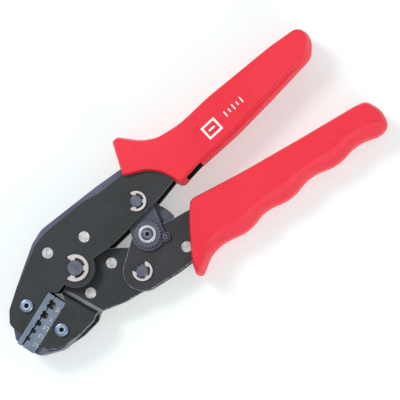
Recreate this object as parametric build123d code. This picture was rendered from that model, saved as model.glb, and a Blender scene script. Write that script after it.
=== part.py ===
from build123d import *
import math
import os

# Ratchet crimping tool with a toggle linkage, lying flat on its back, in millimetres.
# +X runs from the jaws to the handle ends, +Y from the lower handle to the upper one, +Z up.
# The parts are drawn about the main pivot and the middle plane of the plates. At the end they are
# moved so that the origin is under the middle of the tool, on the surface that it lies on.

# Pivot centres
MAIN = (0.0, 0.0)
LINK = (40.8, 6.7)
HANDLE = (23.2, -19.8)
KNEE = (35.5, -8.3)
PAWL = (61.0, -16.5)

# Plate levels, from the middle plane outwards. The tool is the same on both sides of that plane.
RATCHET_TOP = 1.6
PAWL_TOP = 1.0
TAIL_TOP = 1.9
HANDLE_LOW, HANDLE_TOP = 2.05, 3.85
LINK_LOW, LINK_TOP = 4.0, 5.5
CHEEK_LOW, CHEEK_TOP = 5.7, 7.7
DIE_TOP = 8.0
GRIP_SIDE, GRIP_TOP = 9.0, 11.0
UPPER_BORDER, LOWER_BORDER = 2.8, 1.6

# Pins, running fits and rivets
RUNNING = 0.05
MAIN_PIN_R, SMALL_PIN_R, KNEE_PIN_R, PAWL_PIN_R = 3.6, 2.8, 2.6, 1.5
ECCENTRIC_R, ECCENTRIC_OFFSET = 3.1, 0.4
KNEE_HOLE_R = 4.7
RIVET_R, RIVET_HEAD_R, RIVET_PROUD = 1.6, 2.6, 0.4
FRAME_RIVETS = [(11.9, 8.8), (-5.9, 13.4), (82.0, 12.0), (116.0, 14.0)]
JAW_RIVETS = [(14.0, -7.7), (-2.0, -12.6)]
HANDLE_RIVETS = [(46.0, -23.7), (84.0, -23.5), (118.0, -27.5)]

# Dies: along the die axis from the main pivot, and across it towards the lower jaw
DIE_ANGLE = 200.0
DIE_START, DIE_END = 16.0, 43.2
DIE_HALF = 4.6
UPPER_FACE_TILT, LOWER_FACE_TILT = -3.35, -2.05
NESTS = [(20.0, 4.4), (25.6, 3.6), (30.2, 2.7), (34.4, 2.3), (38.6, 2.0)]
CRADLE_DEPTH = 0.2
SCREW_R, SCREW_HEAD_R, SCREW_HEAD_H, HEX_R = 1.95, 3.25, 1.9, 1.45
UPPER_SCREW = (26.4, -9.9)
LOWER_SCREW = (27.1, 9.7)
TANG_START, TANG_END, TANG_DEPTH = 20.5, 33.0, 13.2

# Retaining clips: half the opening, and the directions that they open to
CLIP_HALF_GAP = 54
CLIP_LEFT, CLIP_UP = 142, 89
CLIP_PLAY = 0.1
GROOVE = 0.8  # groove radius as a share of the pin's

# Headed pins and their clips: pin, clip, centre, radius, height of the plate that the clip lies on,
# top, head radius and height, clip radius and thickness, and the direction that the clip opens to
PINS = [
    ("pivot_pin", "pivot_clip", MAIN, MAIN_PIN_R, CHEEK_TOP, 9.9, 5.6, 1.7, 6.2, 1.1, CLIP_LEFT),
    ("link_pin", "link_pin_clip", LINK, SMALL_PIN_R, CHEEK_TOP, 9.6, 4.6, 1.5, 4.65, 1.0, CLIP_LEFT),
    ("handle_pin", "handle_pin_clip", HANDLE, SMALL_PIN_R, 3.9, 6.2, 4.6, 1.5, 4.65, 1.0, CLIP_UP),
]  # fmt: skip

# Springs: coil radius, wire radius, height of the first turn, pitch, turns, and length of the legs
RETURN_SPRING = (5.5, 0.5, 2.6, 1.05, 2.35, 6.5)
PAWL_SPRING = (2.0, 0.25, 1.3, 0.53, 0.85, 3.0)

# Hub discs and collars
HUB_R = 9.0
BUSH_R, LINK_WASHER_R, COLLAR_PLAY = 4.7, 4.6, 0.05
TAIL_HUB_R = 8.8
CORE_HUB_R = 9.6
HANDLE_END_R = 9.1
LINK_TOP_R, LINK_KNEE_R = 6.4, 7.5

# Ratchet: its arm to the link pin, its toothed sector, and the pawl's distance from the teeth
RATCHET_ARM_R = 6.0
RATCHET_R, TOOTH_DEPTH, TOOTH_PITCH = 14.3, 1.1, 6.2
RATCHET_START, RATCHET_END, FIRST_TOOTH, TEETH = -88.0, 32.0, -80.5, 13
PAWL_HUB_R, PAWL_CLEARANCE = 3.0, 2.0

# Adjusting wheel with its washer and screw, and the small screw that locks it
WHEEL_LOW, WHEEL_TOP = 5.6, 7.1
WHEEL_R, WHEEL_ROOT_R, WHEEL_TEETH = 6.3, 5.6, 24
KNEE_HEAD_R = 4.3
WHEEL_WASHER_R, WHEEL_WASHER_BORE, WHEEL_WASHER_H = 4.1, 2.7, 0.9
WHEEL_SCREW_R, WHEEL_SCREW_TIP = 1.5, 2.0
LOCK_SCREW = (41.1, -14.1)
LOCK_SCREW_R, LOCK_EAR_R = 0.9, 2.3

# Joggle of the lower jaw: its line's distance from the main pivot and its direction
JOGGLE_ANGLE = 22.5
JOGGLE_HIGH, JOGGLE_LOW = -13.4, -11.0
JOGGLE_INNER_HIGH, JOGGLE_INNER_LOW = -15.0, -12.5
OUTER_BEND_R, INNER_BEND_R = 1.3, 0.5
REACH = 90.0

nodes = {}


def outline(corners, radii):
    """A closed face through corner points, each corner rounded by its own radius."""
    return make_face(FilletPolyline(*corners, radius=radii, close=True).edges())


def flowing_outline(corners, limits):
    """A closed face whose corners are arcs as large as their sides and their limits allow."""
    radii = []
    for index, limit in enumerate(limits):
        before = Vector(corners[index]) - Vector(corners[index - 1])
        after = Vector(corners[(index + 1) % len(corners)]) - Vector(corners[index])
        half_turn = math.radians(before.get_angle(after)) / 2
        radii.append(min(limit, 0.48 * min(before.length, after.length) / math.tan(half_turn)))
    return outline(corners, radii)


def disc(centre, radius):
    return Pos(*centre) * Circle(radius)


def strap(centre_a, radius_a, centre_b, radius_b):
    """The outline of a flat link with round ends."""
    return make_hull((disc(centre_a, radius_a) + disc(centre_b, radius_b)).edges())


def slab(face, low, high):
    return extrude(Pos(0, 0, low) * face, high - low)


def rod(centre, radius, low, high):
    return slab(disc(centre, radius), low, high)


def ring(centre, outer, inner, low, high):
    return slab(disc(centre, outer) - disc(centre, inner), low, high)


def polar(centre, radius, degrees):
    turn = math.radians(degrees)
    return (centre[0] + radius * math.cos(turn), centre[1] + radius * math.sin(turn))


def die_point(along, across):
    """A point given along and across the die axis."""
    turn = math.radians(DIE_ANGLE)
    x = along * math.cos(turn) - across * math.sin(turn)
    y = along * math.sin(turn) + across * math.cos(turn)
    return (x, y)


def rivets(centres, top):
    """Rivets through both plates, their flat heads a little proud of them."""
    group = Part()
    for centre in centres:
        shank = rod(centre, RIVET_R, -top, top)
        head = rod(centre, RIVET_HEAD_R, top, top + RIVET_PROUD)
        head = chamfer(head.edges().group_by(Axis.Z)[-1], 0.2)
        group += shank + head + mirror(head, Plane.XY)
    return group


def retaining_clip(centre, outer, groove, low, thickness, opening_angle):
    """An E-clip: an open ring with three prongs that reach into the pin's groove."""
    inner = (outer + groove) / 2 + CLIP_PLAY
    face = disc(centre, outer) - disc(centre, inner)
    prong_length = inner - groove
    prong = Rectangle(prong_length + 0.4, 0.34 * outer)
    for turn in (75, 180, 285):
        place = Pos(*centre) * Rot(0, 0, opening_angle + turn) * Pos(groove + prong_length / 2 + 0.2, 0)
        face += place * prong
    opening = [polar(MAIN, 3 * outer, side * CLIP_HALF_GAP) for side in (-1, 1)]
    gap = Polygon(MAIN, *opening, align=None)
    face -= Pos(*centre) * Rot(0, 0, opening_angle) * gap
    return slab(face, low, low + thickness)


def grooved_pin(centre, radius, low, high, head_r, head_h, groove_low, groove_h):
    """A headed pin with a clip groove near its free end."""
    groove = ring(centre, radius + 1, GROOVE * radius, groove_low, groove_low + groove_h)
    pin = rod(centre, radius, low, high)
    pin = chamfer(pin.edges().group_by(Axis.Z)[-1], 0.4)
    head = rod(centre, head_r, low - head_h, low)
    head = fillet(head.edges().group_by(Axis.Z)[0], 0.5)
    return pin - groove + head


def socket_screw(centre, head_r, head_h, shank_r, seat, tip, hex_r):
    """A button-head screw with a hexagon socket, its head up."""
    head = rod(centre, head_r, seat, seat + head_h)
    head = fillet(head.edges().group_by(Axis.Z)[-1], 0.62 * head_h)
    socket = slab(Pos(*centre) * RegularPolygon(hex_r, 6), seat + 0.25 * head_h, seat + head_h + 1)
    return head - socket + rod(centre, shank_r, tip, seat)


# Frame: two cheeks with their tangs, and the core between them ---------------------------------

cheek_face = outline(
    [
        die_point(38.6, -DIE_HALF), (-39.2, -5.2), (-39.6, -1.4), (-35.8, 3.8), (-27.8, 9.2),
        (-8.3, 19.9), (-2.0, 21.6), (22.0, 21.9), (28.5, 20.5), (60.0, 20.4), (128.0, 19.3),
        (128.0, 12.0), (76.0, 7.2), (62.0, 4.2), (47.6, 0.9), (18.1, -2.2), (9.5, -1.6),
        (-8.4, -2.6), (-13.0, -3.8), die_point(DIE_START, -DIE_HALF),
    ],
    [0.3, 2, 3, 5, 10, 9, 20, 12, 12, 40, 2, 2, 10, 10, 20, 20, 0, 0.5, 0.6, 0.3],
)  # fmt: skip
cheek_face += disc(MAIN, HUB_R)
core_face = outline(
    [
        die_point(42.9, -DIE_HALF), (-41.8, -8.3), (-39.2, -3.2), (-35.2, 4.2), (-27.6, 9.9),
        (-9.2, 21.5), (-2.0, 24.1), (30.0, 23.9), (56.0, 22.6), (60.0, 19.0), (128.0, 18.6),
        (128.0, 12.6), (76.0, 7.8), (60.0, 5.2), (60.0, 15.0), (20.0, 14.6), (15.2, 6.4),
        (8.0, 9.5), (0.0, 6.0), (-12.0, 0.0), die_point(DIE_START, -DIE_HALF),
    ],
    [0.5, 1.5, 4, 5, 10, 8, 9, 30, 1.5, 1, 1, 1, 3, 1, 2, 2, 1.5, 1, 0, 1, 0.2],
)  # fmt: skip
core_face -= disc(MAIN, CORE_HUB_R)


def die_tang(side):
    corners = [
        die_point(TANG_START, side * DIE_HALF),
        die_point(TANG_START, side * TANG_DEPTH),
        die_point(TANG_END, side * TANG_DEPTH),
        die_point(TANG_END, side * DIE_HALF),
    ]
    return slab(outline(corners, [0, 1.5, 1.5, 0]), -CHEEK_LOW, CHEEK_LOW)


def drill(body, centres, radius):
    for centre in centres:
        body = body - rod(centre, radius, -GRIP_TOP, GRIP_TOP)
    return body


cheek_plate = slab(cheek_face, CHEEK_LOW, CHEEK_TOP)
cheek_plate = drill(cheek_plate, FRAME_RIVETS, RIVET_R)
cheek_plate = drill(cheek_plate, [MAIN], MAIN_PIN_R)
cheek_plate = drill(cheek_plate, [LINK], SMALL_PIN_R)
nodes["frame_plate_front"] = drill(cheek_plate, [die_point(*UPPER_SCREW)], SCREW_R)
nodes["frame_plate_back"] = mirror(nodes["frame_plate_front"], Plane.XY)
nodes["frame_core"] = drill(slab(core_face, -CHEEK_LOW, CHEEK_LOW), FRAME_RIVETS, RIVET_R) - die_tang(-1)
nodes["frame_rivets"] = rivets(FRAME_RIVETS, CHEEK_TOP)

# Dies --------------------------------------------------------------------------------------------


def face_line(tilt, along):
    """How far across the die axis a working face lies, at a distance along it."""
    return along * math.tan(math.radians(tilt))


def die_blank(side, tilt):
    corners = [
        die_point(DIE_START, side * DIE_HALF),
        die_point(DIE_END, side * DIE_HALF),
        die_point(DIE_END, face_line(tilt, DIE_END)),
        die_point(DIE_START, face_line(tilt, DIE_START)),
    ]
    return slab(outline(corners, [0.4, 0.8, 0.1, 0.1]), -DIE_TOP, DIE_TOP) + die_tang(side)


upper_die = die_blank(-1, UPPER_FACE_TILT)
lower_die = die_blank(1, LOWER_FACE_TILT)
for along, width in NESTS:
    roof = face_line(UPPER_FACE_TILT, along)
    floor = face_line(LOWER_FACE_TILT, along)
    for lobe in (-1, 1):
        upper_die -= rod(die_point(along + lobe * width / 4, roof + 0.1), width / 4, -DIE_TOP, DIE_TOP)
    cradle_r = 0.42 * width
    cradle_end = die_point(along, floor + CRADLE_DEPTH * width)
    cradle = strap(die_point(along, floor - 1), cradle_r, cradle_end, cradle_r)
    lower_die -= slab(cradle, -DIE_TOP, DIE_TOP)
nodes["upper_die"] = drill(upper_die, [die_point(*UPPER_SCREW)], SCREW_R)
nodes["lower_die"] = drill(lower_die, [die_point(*LOWER_SCREW)], SCREW_R)
for name, place in (("upper_die_screw", UPPER_SCREW), ("lower_die_screw", LOWER_SCREW)):
    nodes[name] = socket_screw(
        die_point(*place), SCREW_HEAD_R, SCREW_HEAD_H, SCREW_R, CHEEK_TOP, -CHEEK_TOP, HEX_R
    )

# Lower jaw: two plates that lie together at the tail and spread apart at the joggle --------------

jaw_face = outline(
    [
        (5.2, 7.1), (26.4, -8.3), (31.4, -16.5), (26.0, -28.2), (8.0, -25.7), (-4.6, -21.9),
        (-7.9, -24.3), (-17.2, -25.4), (-28.2, -24.6), (-33.4, -21.2), die_point(38.2, DIE_HALF),
        die_point(DIE_START, DIE_HALF), (-12.2, -5.0), (-8.4, -2.4), (0.0, 0.0),
    ],
    [0, 3, 0, 0, 20, 3, 4, 12, 8, 2, 0.3, 0.3, 1, 0, 0],
)  # fmt: skip
jaw_face += disc(MAIN, TAIL_HUB_R)
jaw_face += disc(HANDLE, HANDLE_END_R - 0.1)


def joggled_plate():
    """One jaw plate: its bent section run along the joggle, then cut to the jaw's outline."""
    section = Plane(origin=(0, 0, 0), x_dir=(1, 0, 0), z_dir=(0, -1, 0)) * outline(
        [
            (-REACH, CHEEK_TOP), (JOGGLE_HIGH, CHEEK_TOP), (JOGGLE_LOW, TAIL_TOP), (REACH, TAIL_TOP),
            (REACH, 0), (JOGGLE_INNER_LOW, 0), (JOGGLE_INNER_HIGH, CHEEK_LOW), (-REACH, CHEEK_LOW),
        ],
        [0, OUTER_BEND_R, INNER_BEND_R, 0, 0, OUTER_BEND_R, INNER_BEND_R, 0],
    )  # fmt: skip
    bent = Rot(0, 0, JOGGLE_ANGLE) * extrude(section, REACH, both=True)
    return bent & slab(jaw_face, 0, CHEEK_TOP)


jaw_plate = drill(joggled_plate(), JAW_RIVETS, RIVET_R)
jaw_plate = drill(jaw_plate, [MAIN], MAIN_PIN_R + RUNNING)
jaw_plate = drill(jaw_plate, [HANDLE], SMALL_PIN_R)
nodes["jaw_plate_front"] = drill(jaw_plate, [die_point(*LOWER_SCREW)], SCREW_R)
nodes["jaw_plate_back"] = mirror(nodes["jaw_plate_front"], Plane.XY)
block_face = outline(
    [
        die_point(42.9, DIE_HALF), die_point(DIE_START + 0.4, DIE_HALF), (-12.3, -9.9), (-8.0, -22.0),
        (-9.2, -23.2), (-17.3, -24.4), (-27.6, -25.4), (-37.4, -21.4),
    ],
    [0.5, 0.2, 0.3, 0.3, 2, 12, 8, 1.5],
)  # fmt: skip
nodes["jaw_block"] = slab(block_face, -CHEEK_LOW, CHEEK_LOW) - die_tang(1)
nodes["jaw_rivets"] = rivets(JAW_RIVETS, TAIL_TOP)

# Lower handle: two plates, the spacer bar between them, the pawl and its pin ---------------------

handle_face = strap(HANDLE, HANDLE_END_R, KNEE, 6.9) + outline(
    [
        (23.2, -28.9), (36.0, -30.3), (128.0, -31.2), (128.0, -23.5), (60.0, -11.3), (50.0, -9.8),
        (36.0, -6.6),
    ],
    [0, 20, 2, 2, 8, 4, 0],
)  # fmt: skip
handle_plate = slab(handle_face, HANDLE_LOW, HANDLE_TOP)
handle_plate = drill(handle_plate, HANDLE_RIVETS, RIVET_R)
handle_plate = drill(handle_plate, [HANDLE], SMALL_PIN_R + RUNNING)
handle_plate = drill(handle_plate, [KNEE], KNEE_HOLE_R)
handle_plate = drill(handle_plate, [PAWL], PAWL_PIN_R)
nodes["handle_plate_front"] = handle_plate
nodes["handle_plate_back"] = mirror(handle_plate, Plane.XY)
spacer_face = outline(
    [
        (41.5, -28.6), (126.0, -30.8), (126.0, -24.6), (74.0, -19.0), (54.0, -20.4),
        (46.2, -21.2), (41.5, -24.5),
    ],
    [1.5, 1, 1, 5, 5, 2, 1.5],
)  # fmt: skip
nodes["handle_spacer"] = drill(slab(spacer_face, -HANDLE_LOW, HANDLE_LOW), HANDLE_RIVETS, RIVET_R)
nodes["handle_rivets"] = rivets(HANDLE_RIVETS, HANDLE_TOP)
nodes["pawl_pin"] = rod(PAWL, PAWL_PIN_R, -HANDLE_TOP, HANDLE_TOP)

knee_to_pawl = math.degrees(math.atan2(PAWL[1] - KNEE[1], PAWL[0] - KNEE[0]))
pawl_tip = polar(KNEE, RATCHET_R + PAWL_CLEARANCE, knee_to_pawl)
shoulders = [polar(PAWL, PAWL_HUB_R - 0.4, knee_to_pawl + side * 90) for side in (1, -1)]
pawl_face = disc(PAWL, PAWL_HUB_R) + outline([shoulders[0], pawl_tip, shoulders[1]], [0, 0.4, 0])
nodes["pawl"] = drill(slab(pawl_face, -PAWL_TOP, PAWL_TOP), [PAWL], PAWL_PIN_R + RUNNING)

# Link: two outer plates and the toothed middle plate, on the same two pins -----------------------

link_face = strap(LINK, LINK_TOP_R, KNEE, LINK_KNEE_R)
ear_face = strap(LOCK_SCREW, LOCK_EAR_R, KNEE, LOCK_EAR_R)
link_plate = drill(slab(link_face + ear_face, LINK_LOW, LINK_TOP), [LINK], SMALL_PIN_R + RUNNING)
link_plate = drill(link_plate, [KNEE], KNEE_PIN_R + RUNNING)
nodes["link_plate_front"] = drill(link_plate, [LOCK_SCREW], LOCK_SCREW_R)
back_plate = drill(slab(link_face, LINK_LOW, LINK_TOP), [LINK], SMALL_PIN_R + RUNNING)
nodes["link_plate_back"] = mirror(drill(back_plate, [KNEE], KNEE_PIN_R + RUNNING), Plane.XY)

last_tooth = FIRST_TOOTH + TEETH * TOOTH_PITCH
rim = [polar(KNEE, RATCHET_R, RATCHET_START)]
for tooth in range(TEETH):
    start = FIRST_TOOTH + tooth * TOOTH_PITCH
    rim.append(polar(KNEE, RATCHET_R, start))
    rim.append(polar(KNEE, RATCHET_R - TOOTH_DEPTH, start + 0.3 * TOOTH_PITCH))
rim.append(polar(KNEE, RATCHET_R, last_tooth))
toothed = Polygon(KNEE, *rim, align=None)
plain_sides = [polar(KNEE, 2 * RATCHET_R, last_tooth), polar(KNEE, 2 * RATCHET_R, RATCHET_END)]
plain = disc(KNEE, RATCHET_R) & Polygon(KNEE, *plain_sides, align=None)
shoulder = Polygon(KNEE, polar(KNEE, RATCHET_R, RATCHET_END), polar(LINK, RATCHET_ARM_R, 0), LINK, align=None)
ratchet_face = strap(LINK, RATCHET_ARM_R, KNEE, RATCHET_ARM_R) + toothed + plain + shoulder
ratchet = drill(slab(ratchet_face, -RATCHET_TOP, RATCHET_TOP), [LINK], SMALL_PIN_R + RUNNING)
nodes["ratchet_plate"] = drill(ratchet, [KNEE], ECCENTRIC_R + ECCENTRIC_OFFSET + RUNNING)
washer = ring(
    LINK, LINK_WASHER_R, SMALL_PIN_R + RUNNING, RATCHET_TOP + COLLAR_PLAY, LINK_LOW - COLLAR_PLAY
)
nodes["link_washers"] = washer + mirror(washer, Plane.XY)
nodes["lock_screw"] = socket_screw(LOCK_SCREW, 1.6, 1.2, LOCK_SCREW_R, LINK_TOP, LINK_LOW, 0.55)

# Knee: the eccentric pin and the toothed wheel that sets it --------------------------------------

eccentric = (KNEE[0] + ECCENTRIC_OFFSET, KNEE[1])
knee_head_top = -LINK_TOP - 0.1
pin = rod(KNEE, KNEE_PIN_R, knee_head_top, WHEEL_TOP)
pin += rod(eccentric, ECCENTRIC_R, -HANDLE_TOP, HANDLE_TOP)
knee_head = rod(KNEE, KNEE_HEAD_R, -WHEEL_TOP, knee_head_top)
pin += fillet(knee_head.edges().group_by(Axis.Z)[0], 0.5)
nodes["eccentric_pin"] = pin - rod(KNEE, WHEEL_SCREW_R, WHEEL_SCREW_TIP - 1, WHEEL_TOP)
wheel_rim = []
for tooth in range(WHEEL_TEETH):
    for part, radius in ((0.0, WHEEL_ROOT_R), (0.3, WHEEL_R), (0.6, WHEEL_R), (0.9, WHEEL_ROOT_R)):
        wheel_rim.append(polar(KNEE, radius, (tooth + part) * 360 / WHEEL_TEETH))
star_wheel = slab(Polygon(*wheel_rim, align=None), WHEEL_LOW, WHEEL_TOP)
nodes["star_wheel"] = star_wheel - rod(KNEE, KNEE_PIN_R, WHEEL_LOW, WHEEL_TOP)
wheel_washer = ring(KNEE, WHEEL_WASHER_R, WHEEL_WASHER_BORE, WHEEL_TOP, WHEEL_TOP + WHEEL_WASHER_H)
nodes["wheel_washer"] = fillet(wheel_washer.edges().group_by(Axis.Z)[-1], 0.25)
nodes["wheel_screw"] = socket_screw(KNEE, 2.55, 1.3, WHEEL_SCREW_R, WHEEL_TOP, WHEEL_SCREW_TIP, 1.25)

# Pins, clips, bushes and springs -----------------------------------------------------------------

for pin, clip, centre, radius, seat, top, head_r, head_h, clip_r, clip_h, opening in PINS:
    groove_h = clip_h + 2 * CLIP_PLAY
    nodes[pin] = grooved_pin(centre, radius, -seat, top, head_r, head_h, seat, groove_h)
    nodes[clip] = retaining_clip(centre, clip_r, GROOVE * radius, seat + CLIP_PLAY, clip_h, opening)
bush = ring(MAIN, BUSH_R, MAIN_PIN_R, TAIL_TOP + COLLAR_PLAY, CHEEK_LOW)
nodes["pivot_bushes"] = bush + mirror(bush, Plane.XY)


def coil_with_legs(centre, coil_r, wire_r, low, pitch, turns, leg):
    """A torsion spring: a close coil with a straight leg at each end, along the tangent there."""
    path = Helix(pitch, pitch * turns, coil_r)
    start = path @ 0
    section = Plane(origin=start, z_dir=path % 0) * Circle(wire_r)
    coil = sweep(section, path=path)
    for end, sign in ((0, -1), (1, 1)):
        tangent = path % end
        run = Vector(tangent.X, tangent.Y, 0).normalized() * sign
        root = (path @ end) - run * 0.5 * wire_r
        coil += extrude(Plane(origin=root, z_dir=run) * Circle(0.96 * wire_r), leg)
    return Pos(centre[0], centre[1], low) * coil


nodes["return_spring"] = coil_with_legs(MAIN, *RETURN_SPRING)
nodes["pawl_spring"] = coil_with_legs(PAWL, *PAWL_SPRING)

# Grips -------------------------------------------------------------------------------------------

UPPER_GRIP = [
    ((42.2, 19.2), 1), ((46.5, 17.2), 8), ((52.5, 14.4), 12), ((57.0, 10.0), 12), ((59.6, 4.2), 10),
    ((61.2, -0.4), 3), ((75.0, 1.7), 30), ((95.0, 2.9), 60), ((118.0, 5.8), 120), ((144.4, 9.8), 8),
    ((150.3, 17.0), 10), ((147.9, 24.1), 5), ((132.0, 25.0), 80), ((95.0, 24.4), 120),
    ((78.0, 22.8), 40), ((66.0, 24.3), 14), ((59.5, 27.9), 20), ((52.0, 35.9), 1.6),
    ((48.6, 35.9), 1.6), ((45.3, 27.2), 20),
]  # fmt: skip
LOWER_GRIP = [
    ((60.4, -7.5), 4), ((53.9, -14.9), 60), ((49.1, -22.0), 60), ((43.4, -30.4), 40),
    ((40.2, -40.4), 3.2), ((52.5, -33.0), 16), ((61.0, -32.5), 22), ((73.0, -35.6), 22),
    ((84.0, -32.4), 22), ((97.0, -36.1), 22), ((110.0, -32.8), 22), ((123.0, -37.1), 22),
    ((136.0, -34.7), 22), ((147.0, -38.6), 14), ((152.3, -37.2), 4), ((154.2, -30.4), 12),
    ((151.2, -22.3), 5), ((146.0, -20.9), 30), ((118.0, -17.1), 120), ((88.0, -12.6), 120),
]  # fmt: skip
# Window in the inner side of the upper grip, over the frame's tang
WINDOW_START, WINDOW_END, WINDOW_TOP, WINDOW_HALF = 65.4, 74.8, 6.4, 6.2


def grip_body(shape, border):
    """A grip with a flat raised panel at the front and the back, inside a lower border."""
    corners = [corner for corner, _ in shape]
    limits = [limit for _, limit in shape]
    face = flowing_outline(corners, limits)
    panel = offset(face, -border)
    return slab(face, -GRIP_SIDE, GRIP_SIDE) + slab(panel, -GRIP_TOP, GRIP_TOP)


upper_grip = grip_body(UPPER_GRIP, UPPER_BORDER) - slab(cheek_face, -CHEEK_TOP, CHEEK_TOP)
upper_grip -= slab(core_face, -CHEEK_LOW, CHEEK_LOW)
for x, y in FRAME_RIVETS[2:]:
    upper_grip -= rod((x, y), RIVET_HEAD_R, -CHEEK_TOP - RIVET_PROUD, CHEEK_TOP + RIVET_PROUD)
window_face = Pos((WINDOW_START + WINDOW_END) / 2, 0) * Rectangle(WINDOW_END - WINDOW_START, 2 * WINDOW_TOP)
nodes["upper_grip"] = upper_grip - slab(window_face, -WINDOW_HALF, WINDOW_HALF)
lower_grip = grip_body(LOWER_GRIP, LOWER_BORDER) - slab(handle_face, -HANDLE_TOP, HANDLE_TOP)
for x, y in HANDLE_RIVETS:
    lower_grip -= rod((x, y), RIVET_HEAD_R, -HANDLE_TOP - RIVET_PROUD, HANDLE_TOP + RIVET_PROUD)
nodes["lower_grip"] = lower_grip

# Place and write ---------------------------------------------------------------------------------

box = Compound(children=[Compound(shape.wrapped) for shape in nodes.values()]).bounding_box()
shift = (-(box.min.X + box.max.X) / 2, -(box.min.Y + box.max.Y) / 2, -box.min.Z)
os.makedirs("parts", exist_ok=True)
for name, shape in nodes.items():
    export_step(Pos(*shift) * shape, "parts/" + name + ".step")
print("size", box.max.X - box.min.X, box.max.Y - box.min.Y, box.max.Z - box.min.Z)
print("main pivot at", shift)
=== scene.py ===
import math

import bpy
from mathutils import Matrix, Vector


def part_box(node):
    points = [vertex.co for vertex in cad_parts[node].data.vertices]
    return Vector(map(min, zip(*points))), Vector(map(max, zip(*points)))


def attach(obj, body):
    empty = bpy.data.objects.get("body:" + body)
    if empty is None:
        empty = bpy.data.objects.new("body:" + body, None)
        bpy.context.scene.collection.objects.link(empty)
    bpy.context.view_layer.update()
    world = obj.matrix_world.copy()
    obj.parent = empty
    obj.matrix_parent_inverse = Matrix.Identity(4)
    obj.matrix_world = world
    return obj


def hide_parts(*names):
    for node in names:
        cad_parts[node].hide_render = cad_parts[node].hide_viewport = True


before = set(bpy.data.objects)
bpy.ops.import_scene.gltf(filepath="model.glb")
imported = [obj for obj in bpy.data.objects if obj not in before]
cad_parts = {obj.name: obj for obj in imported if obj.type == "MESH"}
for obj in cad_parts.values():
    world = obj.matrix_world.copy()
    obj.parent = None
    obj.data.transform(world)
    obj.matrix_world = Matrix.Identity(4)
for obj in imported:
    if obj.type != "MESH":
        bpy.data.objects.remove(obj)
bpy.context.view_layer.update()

# A ratchet crimping tool lying on its back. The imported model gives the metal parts. This script
# gives them rounded edges and finishes, and builds the moulded grips, the size marks on the die
# and the print on the grip. Shapes are drawn in millimetres about the main pivot and the plates'
# middle plane, and put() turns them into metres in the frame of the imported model.

MM = 0.001


def centre_of(node):
    low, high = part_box(node)
    return (low + high) / 2


core_low, core_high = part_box("frame_core")
main_pivot = centre_of("pivot_pin")
ORIGIN = Vector((main_pivot.x, main_pivot.y, (core_low.z + core_high.z) / 2))
# The direction of the die axis, and the heights of the dies' and grips' faces
DIE_TURN = math.radians(200.0)
DIE_TOP = 8.0
GRIP_TOP = 11.0


def put(x, y, z):
    """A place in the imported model's frame, in metres."""
    return ORIGIN + Vector((x, y, z)) * MM


def die_point(along, across):
    """A point given along and across the die axis, which starts at the main pivot."""
    x = along * math.cos(DIE_TURN) - across * math.sin(DIE_TURN)
    y = along * math.sin(DIE_TURN) + across * math.cos(DIE_TURN)
    return (x, y)


# Material building blocks -------------------------------------------------------------------------

# Die sides: black oxide with painted shade in the nests; painted shade inside a driving socket
SIDE_BLACK_AND_SHADE = (0.010, 0.012, 0.015)
SOCKET_SHADE = (0.008, 0.010, 0.014)
# The socket's painted shade inside and the painted highlight on its rim, as shares of its radius
SOCKET_FLOOR, SOCKET_WALL = 0.72, 0.86
RIM_INNER, RIM_OUTER = 0.95, 1.25
# Cosines of the turn of a rounded edge: where the lighter edge colour starts, and where it is full
EDGE_START, EDGE_FULL = 0.99, 0.86
# The period of a wave texture of scale 1
WAVE_PERIOD = math.tau / 20


def scaled(colour, times):
    """A colour made lighter or darker, within range."""
    return tuple(min(1.0, times * part) for part in colour)


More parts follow.
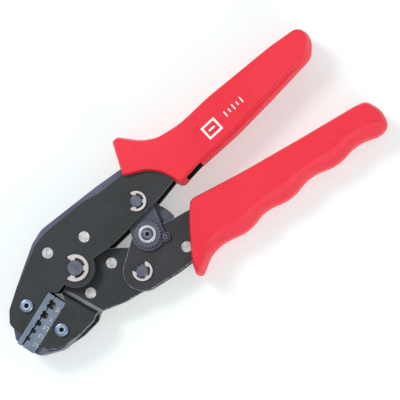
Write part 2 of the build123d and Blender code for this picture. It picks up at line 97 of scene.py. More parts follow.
class Finish:
    """A node material, with short helpers for the nodes that every finish here is made of."""

    def __init__(self, name, roughness, metallic=0.0, **fixed):
        self.material = bpy.data.materials.new(name)
        self.material.use_nodes = True
        self.tree = self.material.node_tree
        self.shader = self.tree.nodes["Principled BSDF"]
        self.shader.inputs["Roughness"].default_value = roughness
        self.shader.inputs["Metallic"].default_value = metallic
        for socket, value in fixed.items():
            self.shader.inputs[socket.replace("_", " ")].default_value = value
        coordinates = self.tree.nodes.new("ShaderNodeTexCoord")
        self.place = coordinates.outputs["Object"]
        self.own_normal = coordinates.outputs["Normal"]

    def link(self, output, socket):
        self.tree.links.new(output, socket)

    def stretched(self, scale, turn=0.0):
        """Object coordinates, turned about Z and scaled by axis."""
        node = self.tree.nodes.new("ShaderNodeMapping")
        node.inputs["Rotation"].default_value = (0.0, 0.0, turn)
        node.inputs["Scale"].default_value = scale
        self.link(self.place, node.inputs["Vector"])
        return node.outputs["Vector"]

    def noise(self, size_mm, detail=4.0, rough=0.55, where=None, distortion=0.0):
        node = self.tree.nodes.new("ShaderNodeTexNoise")
        node.inputs["Scale"].default_value = 1 / (size_mm * MM)
        node.inputs["Detail"].default_value = detail
        node.inputs["Roughness"].default_value = rough
        node.inputs["Distortion"].default_value = distortion
        self.link(where or self.place, node.inputs["Vector"])
        return node.outputs["Fac"]

    def cells(self, size_mm):
        node = self.tree.nodes.new("ShaderNodeTexVoronoi")
        node.inputs["Scale"].default_value = 1 / (size_mm * MM)
        self.link(self.place, node.inputs["Vector"])
        return node.outputs["Distance"]

    def ramp(self, fac, low, high, from_value=0.0, to_value=1.0):
        """fac between low and high becomes a value between from_value and to_value."""
        node = self.tree.nodes.new("ShaderNodeMapRange")
        node.interpolation_type = "SMOOTHSTEP"
        settings = {"From Min": low, "From Max": high, "To Min": from_value, "To Max": to_value}
        for socket, value in settings.items():
            node.inputs[socket].default_value = value
        self.link(fac, node.inputs["Value"])
        return node.outputs["Result"]

    def math(self, operation, first, second):
        node = self.tree.nodes.new("ShaderNodeMath")
        node.operation = operation
        for socket, value in zip(node.inputs, (first, second)):
            if isinstance(value, (int, float)):
                socket.default_value = value
            else:
                self.link(value, socket)
        return node.outputs[0]

    def mix(self, fac, first, second):
        """Blends two colours, or a node's colour and a colour."""
        node = self.tree.nodes.new("ShaderNodeMix")
        node.data_type = "RGBA"
        self.link(fac, node.inputs["Factor"])
        for socket, value in ((node.inputs[6], first), (node.inputs[7], second)):
            if isinstance(value, tuple):
                socket.default_value = (*value, 1.0)
            else:
                self.link(value, socket)
        return node.outputs[2]

    def height_mm(self):
        """How far a point is from the middle plane of the plates."""
        split = self.tree.nodes.new("ShaderNodeSeparateXYZ")
        self.link(self.place, split.inputs["Vector"])
        above = self.math("SUBTRACT", split.outputs["Z"], ORIGIN.z)
        return self.math("MULTIPLY", self.math("ABSOLUTE", above, 0.0), 1 / MM)

    def edges(self, radius_mm):
        """1 along outer and inner edges, 0 on flat faces."""
        bevel = self.tree.nodes.new("ShaderNodeBevel")
        bevel.samples = 4
        bevel.inputs["Radius"].default_value = radius_mm * MM
        geometry = self.tree.nodes.new("ShaderNodeNewGeometry")
        dot = self.tree.nodes.new("ShaderNodeVectorMath")
        dot.operation = "DOT_PRODUCT"
        self.link(bevel.outputs["Normal"], dot.inputs[0])
        self.link(geometry.outputs["Normal"], dot.inputs[1])
        return self.ramp(dot.outputs["Value"], EDGE_START, EDGE_FULL)

    def facing(self, direction):
        """How squarely the piece's own surface faces a direction."""
        dot = self.tree.nodes.new("ShaderNodeVectorMath")
        dot.operation = "DOT_PRODUCT"
        self.link(self.own_normal, dot.inputs[0])
        dot.inputs[1].default_value = direction
        return dot.outputs["Value"]

    def bump(self, height, depth_mm, strength=1.0):
        node = self.tree.nodes.new("ShaderNodeBump")
        node.inputs["Strength"].default_value = strength
        node.inputs["Distance"].default_value = depth_mm * MM
        self.link(height, node.inputs["Height"])
        self.link(node.outputs["Normal"], self.shader.inputs["Normal"])

    def socket(self, base, place, radius_mm, light):
        """Painted shade inside a radius about the centre, and a painted highlight on its rim."""
        flat = self.tree.nodes.new("ShaderNodeVectorMath")
        flat.operation = "MULTIPLY"
        self.link(place, flat.inputs[0])
        flat.inputs[1].default_value = (1.0, 1.0, 0.0)
        length = self.tree.nodes.new("ShaderNodeVectorMath")
        length.operation = "LENGTH"
        self.link(flat.outputs["Vector"], length.inputs[0])
        reach = length.outputs["Value"]
        radius = radius_mm * MM
        rim = self.ramp(reach, RIM_OUTER * radius, RIM_INNER * radius, 0.0, 0.8)
        base = self.mix(rim, base, scaled(light, 2.2))
        inside = self.ramp(reach, SOCKET_WALL * radius, SOCKET_FLOOR * radius)
        return self.mix(inside, base, SOCKET_SHADE)

    def colour(self, output):
        self.link(output, self.shader.inputs["Base Color"])

    def roughness(self, output):
        self.link(output, self.shader.inputs["Roughness"])


def plate_steel(name, colour, light, wear_and_highlight, wear_and_highlight_amount, roughness, edge_mm=0.35, bend=None):
    """Blackened or blued sheet steel: a cloudy colour, a fine grain and lighter edges, which show
    abrasion and, where they are bright, a painted highlight.

    bend is the direction that a joggle faces, where its slope gets a painted highlight."""
    finish = Finish(name, roughness, metallic=0.55)
    cloud = finish.ramp(finish.noise(22, 5, 0.6), 0.35, 0.68)
    base = finish.mix(cloud, colour, light)
    handled = finish.ramp(finish.noise(5, 6, 0.7, distortion=0.6), 0.5, 0.75, 0.0, 0.35)
    base = finish.mix(handled, base, scaled(light, 1.25))
    # Lighter edges: abrasion, and on the jaw and handle plates also a painted highlight
    broken = finish.ramp(finish.noise(1.4, 6, 0.7), 0.38, 0.62)
    lightening = finish.math("MULTIPLY", finish.edges(edge_mm), broken)
    lightening = finish.math("MULTIPLY", lightening, wear_and_highlight_amount)
    # A painted highlight on the slope of the joggle's bend, low on the plates and in patches
    if bend:
        rubbed = finish.ramp(finish.facing(bend), 0.3, 0.6)
        low_part = finish.ramp(finish.height_mm(), BEND_HIGHLIGHT_END, BEND_HIGHLIGHT_START)
        patchy = finish.ramp(finish.noise(2.0, 5, 0.65), 0.25, 0.6, 0.75, 1.0)
        rubbed = finish.math("MULTIPLY", finish.math("MULTIPLY", rubbed, low_part), patchy)
        lightening = finish.math("MAXIMUM", lightening, rubbed)
    finish.colour(finish.mix(lightening, base, wear_and_highlight))
    grain = finish.noise(0.22, 3, 0.6)
    rough = finish.ramp(cloud, 0, 1, roughness - 0.05, roughness + 0.07)
    rough = finish.math("SUBTRACT", rough, finish.math("MULTIPLY", lightening, 0.15))
    finish.roughness(finish.math("ADD", rough, finish.ramp(grain, 0.3, 0.7, -0.04, 0.04)))
    finish.bump(grain, 0.012, 0.6)
    return finish.material


def ground_steel(
    name, colour, light, roughness, turn=0.0, metallic=0.9, lightening=0.5, black_and_shaded_sides=False
):
    """Ground or machined steel, its marks running one way, with lighter edges.

    With the sides darkened, only the faces that lie flat are ground. The rest is black oxide,
    and painted shade in the die's nests."""
    finish = Finish(name, roughness, metallic)
    along = finish.stretched((1.0, 14.0, 1.0), -turn)
    marks = finish.noise(1.6, 5, 0.65, where=along)
    cloud = finish.ramp(finish.noise(6, 4, 0.6), 0.35, 0.7)
    base = finish.mix(finish.ramp(marks, 0.3, 0.72), colour, light)
    base = finish.mix(finish.math("MULTIPLY", cloud, 0.35), base, scaled(colour, 0.6))
    edge = finish.math("MULTIPLY", finish.edges(0.3), lightening)
    base = finish.mix(edge, base, scaled(light, 1.5))
    # Black sides: black oxide on the walls, and painted shade in the die's nests
    if black_and_shaded_sides:
        flat = finish.math("ABSOLUTE", finish.facing((0.0, 0.0, 1.0)), 0.0)
        base = finish.mix(finish.ramp(flat, 0.45, 0.2), base, SIDE_BLACK_AND_SHADE)
    finish.colour(base)
    finish.roughness(finish.ramp(marks, 0.25, 0.75, roughness + 0.09, roughness - 0.07))
    finish.bump(marks, 0.015, 0.5)
    return finish.material


def turned_steel(
    name, colour, light, roughness, node=None, metallic=0.9, ring_mm=0.5, socket_mm=None
):
    """A turned or riveted face: fine rings about the piece's own centre, and small dents.

    socket_mm is a driving socket's radius: painted shade inside, a painted highlight on its rim."""
    finish = Finish(name, roughness, metallic)
    cloud = finish.ramp(finish.noise(1.8, 5, 0.65), 0.35, 0.7)
    base = finish.mix(cloud, colour, light)
    edge = finish.math("MULTIPLY", finish.edges(0.25), 0.5)
    base = finish.mix(edge, base, scaled(light, 1.3))
    height = finish.noise(0.5, 4, 0.6)
    if node:
        centre = centre_of(node)
        shifted = finish.tree.nodes.new("ShaderNodeMapping")
        shifted.inputs["Location"].default_value = (-centre.x, -centre.y, 0.0)
        finish.link(finish.place, shifted.inputs["Vector"])
        if socket_mm:
            base = finish.socket(base, shifted.outputs["Vector"], socket_mm, light)
        rings = finish.tree.nodes.new("ShaderNodeTexWave")
        rings.wave_type = "RINGS"
        rings.rings_direction = "Z"
        rings.inputs["Scale"].default_value = WAVE_PERIOD / (ring_mm * MM)
        rings.inputs["Distortion"].default_value = 1.2
        finish.link(shifted.outputs["Vector"], rings.inputs["Vector"])
        height = finish.math("ADD", finish.math("MULTIPLY", rings.outputs["Fac"], 0.5), height)
    finish.colour(base)
    finish.roughness(finish.ramp(height, 0.2, 1.0, roughness - 0.06, roughness + 0.1))
    finish.bump(height, 0.02, 0.5)
    return finish.material


def grip_plastic(name):
    """Satin red moulded plastic: spark-eroded texture, faint sink marks and rubbed edges."""
    finish = Finish(name, 0.46, 0.0, IOR=1.46, Specular_IOR_Level=0.35)
    cloud = finish.ramp(finish.noise(38, 4, 0.55), 0.3, 0.7)
    base = finish.mix(cloud, (0.79, 0.020, 0.042), (0.84, 0.030, 0.055))
    mottle = finish.ramp(finish.noise(3.2, 5, 0.65), 0.45, 0.75, 0.0, 0.35)
    base = finish.mix(mottle, base, (0.74, 0.016, 0.032))
    patchy = finish.ramp(finish.noise(4, 5, 0.6), 0.35, 0.65, 0.1, 0.5)
    rubbed = finish.math("MULTIPLY", finish.edges(0.9), patchy)
    finish.colour(finish.mix(rubbed, base, (0.92, 0.09, 0.12)))
    texture = finish.noise(0.28, 3, 0.6)
    pits = finish.ramp(finish.cells(0.55), 0.05, 0.45)
    height = finish.math("ADD", texture, finish.math("MULTIPLY", pits, 0.35))
    sink = finish.math("MULTIPLY", finish.noise(16, 2, 0.5), 2.0)
    finish.bump(finish.math("ADD", height, sink), 0.03, 0.45)
    rough = finish.ramp(texture, 0.3, 0.7, 0.42, 0.52)
    finish.roughness(finish.math("SUBTRACT", rough, finish.math("MULTIPLY", rubbed, 0.12)))
    return finish.material


def print_ink(name):
    """White pad print, a little rubbed so that it is thin in places."""
    finish = Finish(name, 0.4)
    thin = finish.ramp(finish.noise(0.7, 5, 0.7), 0.55, 0.8, 0.0, 0.4)
    finish.colour(finish.mix(thin, (0.92, 0.91, 0.90), (0.86, 0.5, 0.5)))
    finish.bump(finish.noise(0.3, 2, 0.5), 0.01, 0.4)
    return finish.material


# The jaw plates' joggle: the way that it faces, and the heights where its painted highlight fades
JOGGLE_TURN = math.radians(22.5)
JOGGLE_FACES = (math.cos(JOGGLE_TURN), math.sin(JOGGLE_TURN), 0.0)
BEND_HIGHLIGHT_START, BEND_HIGHLIGHT_END = 4.0, 5.4

OXIDE = {"colour": (0.030, 0.034, 0.036), "light": (0.038, 0.043, 0.047), "roughness": 0.47}
WARM_OXIDE = {"colour": (0.036, 0.037, 0.042), "light": (0.046, 0.046, 0.052), "roughness": 0.47}
# Jaw and handle plate edges: a bright edge colour, partly abrasion, partly a painted highlight
WORN_AND_HIGHLIT_EDGES = {"wear_and_highlight": (0.72, 0.75, 0.82), "wear_and_highlight_amount": 0.95, "edge_mm": 0.6}
BLACK = plate_steel("black_oxide", **OXIDE, wear_and_highlight=(0.34, 0.35, 0.38), wear_and_highlight_amount=0.55)
JAW_BLACK = plate_steel("black_jaw", **OXIDE, **WORN_AND_HIGHLIT_EDGES, bend=JOGGLE_FACES)
HANDLE_BLACK = plate_steel("black_handle", **WARM_OXIDE, **WORN_AND_HIGHLIT_EDGES)
LINKAGE = plate_steel(
    "dark_linkage", (0.072, 0.080, 0.108), (0.100, 0.108, 0.145),
    wear_and_highlight=(0.40, 0.40, 0.46), wear_and_highlight_amount=0.7, roughness=0.42,
)  # fmt: skip
CORE = plate_steel(
    "blued_core", (0.092, 0.096, 0.162), (0.145, 0.15, 0.225),
    wear_and_highlight=(0.50, 0.51, 0.62), wear_and_highlight_amount=0.8, roughness=0.40,
)  # fmt: skip
DIE = ground_steel(
    "die_steel", (0.165, 0.215, 0.29), (0.27, 0.34, 0.43), 0.38, turn=DIE_TURN, black_and_shaded_sides=True
)
WHEEL = ground_steel(
    "wheel_steel", (0.085, 0.090, 0.120), (0.160, 0.165, 0.210), 0.42, metallic=0.7, lightening=0.9
)
RIVET = turned_steel("rivet_steel", (0.40, 0.40, 0.41), (0.74, 0.74, 0.75), 0.36, metallic=0.6)
CLIP = ground_steel("clip_steel", (0.62, 0.56, 0.57), (0.80, 0.74, 0.75), 0.36, metallic=0.7)
SPRING = ground_steel("spring_wire", (0.45, 0.46, 0.48), (0.6, 0.61, 0.63), 0.32)
WASHER = turned_steel("washer_steel", (0.50, 0.52, 0.58), (0.66, 0.67, 0.72), 0.3, "wheel_washer")
RED = grip_plastic("red_plastic")
INK = print_ink("white_print")

# Radii of the driving sockets
DIE_SCREW_SOCKET, WHEEL_SCREW_SOCKET = 1.45, 1.25


def screw_steel(node):
    colours = (0.19, 0.26, 0.39), (0.31, 0.39, 0.54)
    socket_mm = DIE_SCREW_SOCKET
    return turned_steel(node + "_steel", *colours, 0.33, node, ring_mm=0.4, socket_mm=socket_mm)


def pin_steel(node, socket_mm=None):
    colours = (0.108, 0.118, 0.160), (0.168, 0.176, 0.225)
    return turned_steel(node + "_steel", *colours, 0.38, node, metallic=0.75, socket_mm=socket_mm)


FINISHES = {
    "frame_plate_front": BLACK,
    "frame_plate_back": BLACK,
    "frame_core": CORE,
    "frame_rivets": RIVET,
    "upper_die": DIE,
    "upper_die_screw": screw_steel("upper_die_screw"),
    "pivot_pin": pin_steel("pivot_pin"),
    "pivot_clip": CLIP,
    "pivot_bushes": LINKAGE,
    "return_spring": SPRING,
    "link_pin": pin_steel("link_pin"),
    "link_pin_clip": CLIP,
    "upper_grip": RED,
    "jaw_plate_front": JAW_BLACK,
    "jaw_plate_back": JAW_BLACK,
    "jaw_block": CORE,
    "jaw_rivets": RIVET,
    "lower_die": DIE,
    "lower_die_screw": screw_steel("lower_die_screw"),
    "handle_pin": pin_steel("handle_pin"),
    "handle_pin_clip": CLIP,
    "handle_plate_front": HANDLE_BLACK,
    "handle_plate_back": HANDLE_BLACK,
    "handle_spacer": LINKAGE,
    "handle_rivets": RIVET,
    "pawl_pin": RIVET,
    "pawl_spring": SPRING,
    "lower_grip": RED,
    "pawl": LINKAGE,
    "link_plate_front": LINKAGE,
    "link_plate_back": LINKAGE,
    "ratchet_plate": LINKAGE,
    "link_washers": LINKAGE,
    "lock_screw": WHEEL,
    "eccentric_pin": WHEEL,
    "star_wheel": WHEEL,
    "wheel_washer": WASHER,
    "wheel_screw": pin_steel("wheel_screw", WHEEL_SCREW_SOCKET),
}

# The metal parts: their own meshes, with small rounded edges --------------------------------------

# Radius of the rounded edges, by finish
EDGE_ROUND = {
    "black_oxide": 0.2, "black_jaw": 0.3, "black_handle": 0.3, "dark_linkage": 0.12,
    "blued_core": 0.25, "die_steel": 0.1,
}  # fmt: skip
FINE_ROUND = 0.07
ROUND_ANGLE, SHARP_ANGLE = math.radians(40), math.radians(38)
WELD_REACH = 0.002
UNROUNDED = ("return_spring", "pawl_spring", "upper_grip", "lower_grip")
for name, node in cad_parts.items():
    finish = FINISHES[name]
    node.data.materials.clear()
    node.data.materials.append(finish)
    if name in UNROUNDED:
        continue
    weld = node.modifiers.new("weld", "WELD")
    weld.merge_threshold = WELD_REACH * MM
    rounding = node.modifiers.new("rounding", "BEVEL")
    rounding.width = EDGE_ROUND.get(finish.name, FINE_ROUND) * MM
    rounding.segments = 2
    rounding.limit_method = "ANGLE"
    rounding.angle_limit = ROUND_ANGLE
    rounding.use_clamp_overlap = True
    rounding.harden_normals = False
    node.modifiers.new("shading", "WEIGHTED_NORMAL").keep_sharp = True

# Mesh building blocks -----------------------------------------------------------------------------

# Distance between the points of an outline, and the part of a straight run that a fillet may use
OUTLINE_STEP = 0.9
FILLET_SHARE = 0.48


def piece(name, mesh, finish, body):
    for polygon in mesh.polygons:
        polygon.use_smooth = True
    mesh.set_sharp_from_angle(angle=SHARP_ANGLE)
    mesh.materials.append(finish)
    thing = bpy.data.objects.new(name, mesh)
    bpy.context.scene.collection.objects.link(thing)
    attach(thing, body)
    return thing


def rounded_loop(corners):
    """A closed curve through filleted corners, as (point, border) samples.

    Each corner is ((x, y), largest fillet radius, border)."""
    samples = []
    count = len(corners)
    for index in range(count):
        here, limit, border = corners[index]
        here = Vector(here)
        before = here - Vector(corners[index - 1][0])
        after = Vector(corners[(index + 1) % count][0]) - here
        turn = before.angle_signed(after)
        reach = FILLET_SHARE * min(before.length, after.length)
        radius = min(limit, reach / math.tan(abs(turn) / 2))
        tangent = radius * math.tan(abs(turn) / 2)
        start = here - before.normalized() * tangent
        side = 1 if turn < 0 else -1
        inward = Vector((-before.y, before.x)).normalized() * side
        middle = start + inward * radius
        steps = max(2, math.ceil(radius * abs(turn) / OUTLINE_STEP))
        for step in range(steps + 1):
            angle = -turn * step / steps
            spoke = start - middle
            spoke.rotate(Matrix.Rotation(angle, 2))
            samples.append((middle + spoke, border))
    return samples


def fill_gaps(samples):
    """Adds points on the straight runs, so that the curve is sampled evenly."""
    even = []
    for index, (point, border) in enumerate(samples):
        following, next_border = samples[(index + 1) % len(samples)]
        run = (following - point).length
        if run < 1e-6:
            continue
        steps = max(1, round(run / OUTLINE_STEP))
        for step in range(steps):
            share = step / steps
            even.append((point.lerp(following, share), border + (next_border - border) * share))
    return even


def smoothed(values, reach):
    """Each value of a closed row, averaged with its neighbours."""
    count = len(values)
    near = range(-reach, reach + 1)
    return [sum(values[(index + k) % count] for k in near) / len(near) for index in range(count)]


def inward_normals(points):
    normals = []
    for index in range(len(points)):
        along = points[(index + 1) % len(points)] - points[index - 1]
        normals.append(Vector((-along.y, along.x)).normalized())
    return normals


def loft(rings):
    """A closed mesh through rings of the same number of points, with flat caps."""
    mesh = bpy.data.meshes.new("loft")
    count = len(rings[0])
    vertices = [put(*point) for ring in rings for point in ring]
    faces = [tuple(reversed(range(count)))]
    for level in range(len(rings) - 1):
        low, high = level * count, (level + 1) * count
        for index in range(count):
            following = (index + 1) % count
            faces.append((low + index, low + following, high + following, high + index))
    last = (len(rings) - 1) * count
    faces.append(tuple(range(last, last + count)))
    mesh.from_pydata(vertices, [], faces)
    mesh.validate()
    return mesh


def flat_piece(loops, low, high):
    """A flat solid on each outline, all in one mesh."""
    vertices, faces = [], []
    for loop in loops:
        base = len(vertices)
        count = len(loop)
        vertices += [put(x, y, low) for x, y in loop] + [put(x, y, high) for x, y in loop]
        faces.append(tuple(base + index for index in reversed(range(count))))
        faces.append(tuple(base + count + index for index in range(count)))
        for index in range(count):
            following = (index + 1) % count
            low_edge = (base + index, base + following)
            faces.append((*low_edge, base + count + following, base + count + index))
    mesh = bpy.data.meshes.new("flat")
    mesh.from_pydata(vertices, [], faces)
    mesh.validate()
    return mesh


# Grips --------------------------------------------------------------------------------------------

# Each corner: place, largest fillet radius, and width of the sloping border there
UPPER_GRIP = [
    ((42.2, 19.2), 1, 0.9), ((46.5, 17.2), 8, 1.0), ((52.5, 14.4), 12, 1.1),
    ((57.0, 10.0), 12, 1.1), ((59.6, 4.2), 10, 1.2), ((61.2, -0.4), 3, 1.3),
    ((75.0, 1.7), 30, 1.4), ((95.0, 2.9), 60, 1.8), ((118.0, 5.8), 120, 2.2),
    ((144.4, 9.8), 8, 2.0), ((150.3, 17.0), 10, 1.0), ((147.9, 24.1), 5, 0.9),
    ((132.0, 25.0), 80, 0.9), ((95.0, 24.4), 120, 0.9), ((78.0, 22.8), 40, 0.9),
    ((66.0, 24.3), 14, 0.9), ((59.5, 27.9), 20, 1.1), ((52.0, 35.9), 1.6, 0.9),
    ((48.6, 35.9), 1.6, 0.9), ((45.3, 27.2), 20, 0.9),
]  # fmt: skip
LOWER_GRIP = [
    ((60.4, -7.5), 4, 1.1), ((53.9, -14.9), 60, 1.0), ((49.1, -22.0), 60, 1.0),
    ((43.4, -30.4), 40, 1.0), ((40.2, -40.4), 3.2, 1.4), ((52.5, -33.0), 16, 4.2),
    ((61.0, -32.5), 22, 5.0), ((73.0, -35.6), 22, 5.6), ((84.0, -32.4), 22, 4.2),
    ((97.0, -36.1), 22, 6.0), ((110.0, -32.8), 22, 4.1), ((123.0, -37.1), 22, 6.4),
    ((136.0, -34.7), 22, 5.4), ((147.0, -38.6), 14, 6.0), ((152.3, -37.2), 4, 3.4),
    ((154.2, -30.4), 12, 1.6), ((151.2, -22.3), 5, 1.2), ((146.0, -20.9), 30, 1.0),
    ((118.0, -17.1), 120, 1.0), ((88.0, -12.6), 120, 1.0),
]  # fmt: skip
# The moulding seam stands out of the wall at the middle plane
SEAM, SEAM_HALF = 0.1, 0.2
WALL_INSET = 0.1
# Heights of the top of the wall, the foot of the sloping border, its crest and the flat face
WALL_TOP, SLOPE_LOW, CREASE_Z = 4.6, 4.9, 10.5
FACE_TOP = GRIP_TOP - 0.03
# The long channel and the fine step, as shares of the slope, their depth and their ends
CHANNEL_LOW, CHANNEL_HIGH, CHANNEL_DEPTH = 0.3, 0.52, 0.6
CHANNEL_START, CHANNEL_END = 77.5, 134.5
STEP_LOW, STEP_HIGH, STEP_DEPTH = 0.86, 0.95, 0.3
STEP_START, STEP_END = 63.0, 146.0
INNER_SIDE = 14.0
# Borders are evened out over this many points, and keep to this share of the room across the grip
BORDER_REACH = 4
ROOM_SHARE = 0.42
NEIGHBOURS = 3
# Rings of the sloping border, and of the rounded crest above it, as shares of their width
CRESTS = (0.2, 0.4, 0.6, 0.8, 1.0, 1.25)
LEVELS = (0.0, 0.1, 0.2, 0.29, 0.31, 0.41, 0.51, 0.53, 0.64, 0.75, 0.85, 0.87, 0.94, 0.96, 1.0)


def room_inward(points, normals):
    """How far each point is from the opposite side of the outline, along its inward normal."""
    count = len(points)
    rooms = []
    for index, (point, normal) in enumerate(zip(points, normals)):
        nearest = math.inf
        for other in range(count):
            if min((other - index) % count, (index - other) % count) < NEIGHBOURS:
                continue
            start, end = points[other] - point, points[(other + 1) % count] - point
            run = end - start
            denominator = normal.cross(run)
            if abs(denominator) < 1e-9:
                continue
            reach = start.cross(run) / denominator
            share = start.cross(normal) / denominator
            if reach > 0 and 0 <= share <= 1:
                nearest = min(nearest, reach)
        rooms.append(nearest)
    return rooms


def grip_loop(corners, softness):
    """Points, inward normals, and the widths of the sloping border and of its rounded top.

    The top is as wide as it has to be to run smoothly from the slope to the flat face."""
    rise_at_top = (CREASE_Z - SLOPE_LOW) * (1 - math.pi * softness)
    top_share = 2 * (FACE_TOP - CREASE_Z) / rise_at_top
    samples = fill_gaps(rounded_loop(corners))
    points = [point for point, _ in samples]
    normals = inward_normals(points)
    rooms = room_inward(points, normals)
    near = range(-BORDER_REACH, BORDER_REACH + 1)
    count = len(rooms)
    tightest = [min(rooms[(index + k) % count] for k in near) for index in range(count)]
    borders, tops = [], []
    for (_, border), room in zip(samples, tightest):
        top = top_share * border
        shrink = min(1.0, (ROOM_SHARE * room - SEAM - WALL_INSET) / (border + top))
        borders.append(border * shrink)
        tops.append(top * shrink)
    return points, normals, smoothed(borders, BORDER_REACH), smoothed(tops, BORDER_REACH)


def grip_rings(corners, softness, sunk=None):
    """Rings from the back face to the front face: wall, seam, sloping border, crest and face."""
    points, normals, borders, tops = grip_loop(corners, softness)

    def ring(insets, height):
        moved = [point + normal * inset for point, normal, inset in zip(points, normals, insets)]
        return [(*point, height) for point in moved]

    count = len(points)
    front = [ring([0.0] * count, 0.0)]
    for height in (SEAM_HALF, WALL_TOP):
        front.append(ring([SEAM] * count, height))
    for level in LEVELS:
        rise = min(1.0, level + softness * math.sin(math.pi * level))
        height = SLOPE_LOW + (CREASE_Z - SLOPE_LOW) * rise
        depths = [sunk(p.x, p.y, level) if sunk else 0.0 for p in points]
        slope = [border * level + depth for border, depth in zip(borders, depths)]
        front.append(ring([SEAM + WALL_INSET + inset for inset in slope], height))
    for share in CRESTS:
        insets = [SEAM + WALL_INSET + border + top * share for border, top in zip(borders, tops)]
        front.append(ring(insets, FACE_TOP - (FACE_TOP - CREASE_Z) * (1 - min(share, 1.0)) ** 2))
    back = [[(x, y, -z) for x, y, z in ring_points] for ring_points in reversed(front[1:])]
    return back + front


def recess(x, y, level):
    """The long channel and the fine step on the upper grip's inner border."""
    if y > INNER_SIDE or not STEP_START <= x <= STEP_END:
        return 0.0
    if CHANNEL_LOW < level < CHANNEL_HIGH and CHANNEL_START < x < CHANNEL_END:
        return CHANNEL_DEPTH
    return STEP_DEPTH if STEP_LOW < level < STEP_HIGH else 0.0


def cut(thing, cutter_mesh):
    """Takes a closed mesh out of a piece. The cut faces get the finish of the mesh taken out."""
    cutter = bpy.data.objects.new("cutter", cutter_mesh)
    bpy.context.scene.collection.objects.link(cutter)
    boolean = thing.modifiers.new("cut", "BOOLEAN")
    boolean.operation = "DIFFERENCE"
    boolean.solver = "EXACT"
    boolean.material_mode = "TRANSFER"
    boolean.object = cutter
    bpy.context.view_layer.update()
    evaluated = thing.evaluated_get(bpy.context.evaluated_depsgraph_get())
    result = bpy.data.meshes.new_from_object(evaluated)
    thing.modifiers.clear()
    thing.data = result
    bpy.data.objects.remove(cutter)


def plain_shading(thing):
    thing.modifiers.new("shading", "WEIGHTED_NORMAL").keep_sharp = True


# The window in the upper grip's inner side, and how far the slope of the lower grip bulges
WINDOW = [(65.4, -6.4), (74.8, -6.4), (74.8, 9.0), (65.4, 9.0)]
WINDOW_HALF = 7.4
BULGE = 0.16

moulding = loft(grip_rings(UPPER_GRIP, 0.0, recess))
upper_grip = piece("upper_grip_moulding", moulding, RED, "frame")
window = flat_piece([WINDOW], -WINDOW_HALF, WINDOW_HALF)
# The cut walls take the black plate finish: painted shade in the deep window slot
window.materials.append(BLACK)
cut(upper_grip, window)
plain_shading(upper_grip)
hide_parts("upper_grip")

moulding = loft(grip_rings(LOWER_GRIP, BULGE))
lower_grip = piece("lower_grip_moulding", moulding, RED, "handle")
plain_shading(lower_grip)
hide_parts("lower_grip")

# Print on the upper grip and size marks on the lower die ------------------------------------------

# The print runs along the grip: a border of bars about a short bar, and a row of tick lines
GRIP_TURN = math.radians(4.5)
BADGE_PLACE, BADGE_LENGTH, BADGE_WIDTH, BADGE_LINE = (88.4, 10.9), 8.0, 6.8, 1.0
BADGE_BAR = (3.4, 0.9)
TICKS_PLACE, TICKS, TICK_SPACING, TICK_LINE = (97.4, 12.2), 5, 2.4, 0.6
LONG_TICK, SHORT_TICK = 3.0, 1.9
PRINT_TOP = GRIP_TOP - 0.005
SUNK = 0.05


def placed(loop, x, y, turn):
    """A small outline drawn about its own origin, turned and moved into place."""
    cosine, sine = math.cos(turn), math.sin(turn)
    return [(x + cosine * u - sine * v, y + sine * u + cosine * v) for u, v in loop]


def bar(length, width):
    u, v = length / 2, width / 2
    return [(-u, -v), (u, -v), (u, v), (-u, v)]


def frame_loops(length, width, line):
    """The four bars of a rectangular border."""
    across = (width - line) / 2
    along = (length - line) / 2
    flat = [(0.0, side * across, bar(length, line)) for side in (-1, 1)]
    upright = [(side * along, 0.0, bar(line, width - 2 * line)) for side in (-1, 1)]
    return [[(u + x, v + y) for u, v in loop] for x, y, loop in flat + upright]


badge = frame_loops(BADGE_LENGTH, BADGE_WIDTH, BADGE_LINE) + [bar(*BADGE_BAR)]
print_loops = [placed(loop, *BADGE_PLACE, GRIP_TURN) for loop in badge]
for index in range(TICKS):
    tick = bar(TICK_LINE, LONG_TICK if index % 2 == 0 else SHORT_TICK)
    moved = [(u + TICK_SPACING * index, v) for u, v in tick]
    print_loops.append(placed(moved, *TICKS_PLACE, GRIP_TURN))
piece("grip_print", flat_piece(print_loops, FACE_TOP - SUNK, PRINT_TOP), INK, "frame")

# Stroke digits: each is a list of strokes between points of a grid two wide and four high
STROKES = {
    "0": [((0, 0), (2, 0)), ((2, 0), (2, 4)), ((2, 4), (0, 4)), ((0, 4), (0, 0))],
    "1": [((1, 0), (1, 4)), ((1, 4), (0, 3))],
    "2": [((0, 4), (2, 4)), ((2, 4), (2, 2)), ((2, 2), (0, 2)), ((0, 2), (0, 0)), ((0, 0), (2, 0))],
    "4": [((0, 4), (0, 2)), ((0, 2), (2, 2)), ((2, 4), (2, 0))],
    "5": [((2, 4), (0, 4)), ((0, 4), (0, 2)), ((0, 2), (2, 2)), ((2, 2), (2, 0)), ((2, 0), (0, 0))],
    "6": [((2, 4), (0, 4)), ((0, 4), (0, 0)), ((0, 0), (2, 0)), ((2, 0), (2, 2)), ((2, 2), (0, 2))],
    ".": [((0, 0), (0, 0.5))],
}
# Grid cell and line width, the cells that a mark takes up, and the gap that ends a row
DIGIT_CELL, DIGIT_LINE = 0.40, 0.27
DIGIT_ADVANCE, POINT_ADVANCE, ROW_GAP = 3.2, 1.2, 1.2
# Each size and its distance along the die, and how far across the die the sizes stand
SIZES = [("6", 20.6), ("4", 25.9), ("2.5", 30.4), ("1.5", 34.8), ("0.5", 39.4)]
SIZES_ACROSS = 3.2
MARK_HEIGHT = 0.015


def advance(mark):
    return (POINT_ADVANCE if mark == "." else DIGIT_ADVANCE) * DIGIT_CELL


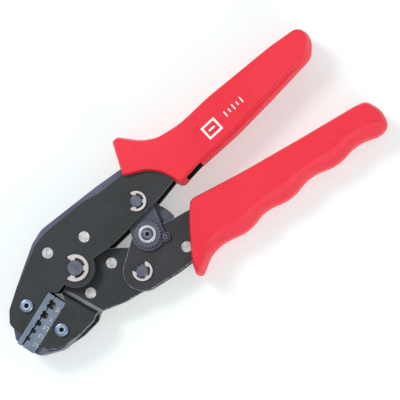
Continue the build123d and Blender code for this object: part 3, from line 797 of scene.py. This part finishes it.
def stroke_loops(text):
    """The bars of a row of stroke digits, from the middle of the row."""
    loops = []
    left = (ROW_GAP * DIGIT_CELL - sum(advance(mark) for mark in text)) / 2
    for mark in text:
        for (x0, y0), (x1, y1) in STROKES[mark]:
            start = Vector((left + x0 * DIGIT_CELL, (y0 - 2) * DIGIT_CELL))
            end = Vector((left + x1 * DIGIT_CELL, (y1 - 2) * DIGIT_CELL))
            middle = (start + end) / 2
            run = end - start
            turn = math.atan2(run.y, run.x)
            loops.append(placed(bar(run.length + DIGIT_LINE, DIGIT_LINE), *middle, turn))
        left += advance(mark)
    return loops


mark_loops = []
for text, along in SIZES:
    for loop in stroke_loops(text):
        mark_loops.append(placed(loop, *die_point(along, SIZES_ACROSS), DIE_TURN - math.pi / 2))
mark_mesh = flat_piece(mark_loops, DIE_TOP - SUNK, DIE_TOP + MARK_HEIGHT)
piece("die_size_marks", mark_mesh, RIVET, "lower_jaw")

# Stage, light and camera --------------------------------------------------------------------------

FLOOR_HALF = 1.5
PAPER_GLOW = 0.455
# The paper goes dark where less than this share of the room above it, within the reach, is open
SHADE_REACH, SHADE_SHARE = 20.0, 0.15

floor_mesh = bpy.data.meshes.new("floor")
square = ((-1, -1), (1, -1), (1, 1), (-1, 1))
floor_corners = [(x * FLOOR_HALF, y * FLOOR_HALF, 0.0) for x, y in square]
floor_mesh.from_pydata(floor_corners, [], [(0, 1, 2, 3)])
floor = bpy.data.objects.new("floor", floor_mesh)
bpy.context.scene.collection.objects.link(floor)
paper = Finish("paper", 0.9, Emission_Strength=PAPER_GLOW)
open_sky = paper.tree.nodes.new("ShaderNodeAmbientOcclusion")
open_sky.samples = 16
open_sky.inputs["Distance"].default_value = SHADE_REACH * MM
lit = paper.ramp(open_sky.outputs["AO"], 0.0, SHADE_SHARE)
unlit = (0.0, 0.0, 0.0)
sheet = paper.mix(paper.noise(60, 3, 0.5), (0.505, 0.585, 0.585), (0.525, 0.605, 0.605))
paper.colour(paper.mix(lit, unlit, sheet))
paper.link(paper.mix(lit, unlit, (1.0, 1.0, 1.0)), paper.shader.inputs["Emission Color"])
floor_mesh.materials.append(paper.material)

world = bpy.data.worlds.new("studio")
bpy.context.scene.world = world
world.use_nodes = True
background = world.node_tree.nodes["Background"]
background.inputs["Color"].default_value = (1.0, 1.0, 1.0, 1.0)
background.inputs["Strength"].default_value = 0.6


def area_light(name, place, size, power):
    """A round soft light that faces the tool."""
    data = bpy.data.lights.new(name, "AREA")
    data.shape = "DISK"
    data.size = size
    data.energy = power
    light = bpy.data.objects.new(name, data)
    light.location = place
    light.rotation_euler = (-Vector(place)).to_track_quat("-Z", "Y").to_euler()
    bpy.context.scene.collection.objects.link(light)


area_light("key", place=(-0.16, 0.66, 0.92), size=0.36, power=5.6)
area_light("fill", place=(0.14, -0.95, 0.55), size=0.7, power=4.2)
bpy.context.scene.view_settings.view_transform = "Standard"

# The camera looks down with the tool's head at the lower left, tilted so that the -Y sides show
TILT = math.radians(7.5)
TOWARDS = Vector((0.261, -0.966, 0.0))
IMAGE_UP = Vector((0.616, 0.788, 0.0))
VIEW_CENTRE = put(63.98, -11.03, 7.7)
DISTANCE = 0.95
VIEW_WIDTH = 0.182
back = (TOWARDS * math.sin(TILT) + Vector((0.0, 0.0, math.cos(TILT)))).normalized()
right = IMAGE_UP.cross(back).normalized()
up = back.cross(right)
camera_data = bpy.data.cameras.new("camera")
camera_data.lens = camera_data.sensor_width * DISTANCE / VIEW_WIDTH
camera_data.clip_start = 0.01
camera = bpy.data.objects.new("camera", camera_data)
facing = Matrix((right, up, back)).transposed().to_4x4()
camera.matrix_world = Matrix.Translation(VIEW_CENTRE + back * DISTANCE) @ facing
bpy.context.scene.collection.objects.link(camera)
bpy.context.scene.camera = camera
